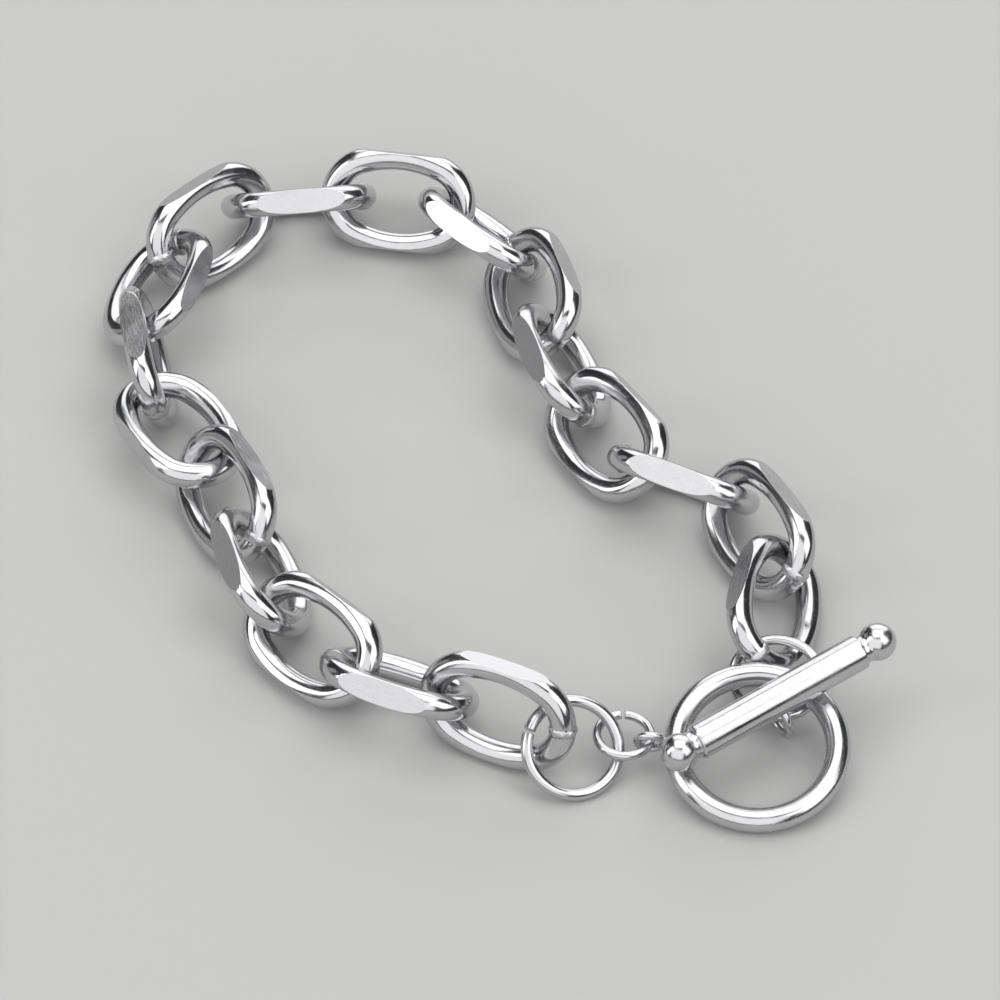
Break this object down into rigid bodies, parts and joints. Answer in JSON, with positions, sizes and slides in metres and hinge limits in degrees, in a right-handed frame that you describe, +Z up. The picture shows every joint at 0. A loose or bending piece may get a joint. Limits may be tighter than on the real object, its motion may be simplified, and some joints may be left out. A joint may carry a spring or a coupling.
{
  "type": "link bracelet",
  "caption": "Chunky oval-link chain bracelet in polished steel, closed in a loop by a toggle ring and ball-ended bar on jump rings.",
  "frame": {"origin": "middle of the bracelet's plan bounding box, on the surface it lies on", "axes": "+Z up from the surface; -Y towards the clasp, +X towards the toggle ring's side of it"},
  "size_m": [0.0817, 0.083, 0.0104],
  "materials": {
    "link_steel": "polished",
    "ring_steel": "polished",
    "clasp_steel": "polished"
  },
  "bodies": {
    "root": {"link_01": "link_steel", "link_02": "link_steel", "link_03": "link_steel", "link_04": "link_steel", "link_05": "link_steel", "link_06": "link_steel", "link_07": "link_steel", "link_08": "link_steel", "link_09": "link_steel", "link_10": "link_steel", "link_11": "link_steel", "link_12": "link_steel", "link_13": "link_steel", "link_14": "link_steel", "link_15": "link_steel", "link_16": "link_steel", "link_17": "link_steel", "link_18": "link_steel", "jump_ring_large": "ring_steel", "jump_ring_small": "ring_steel", "bar_ring": "ring_steel", "toggle_ring": "clasp_steel", "toggle_bar": "clasp_steel"}
  },
  "joints": []
}
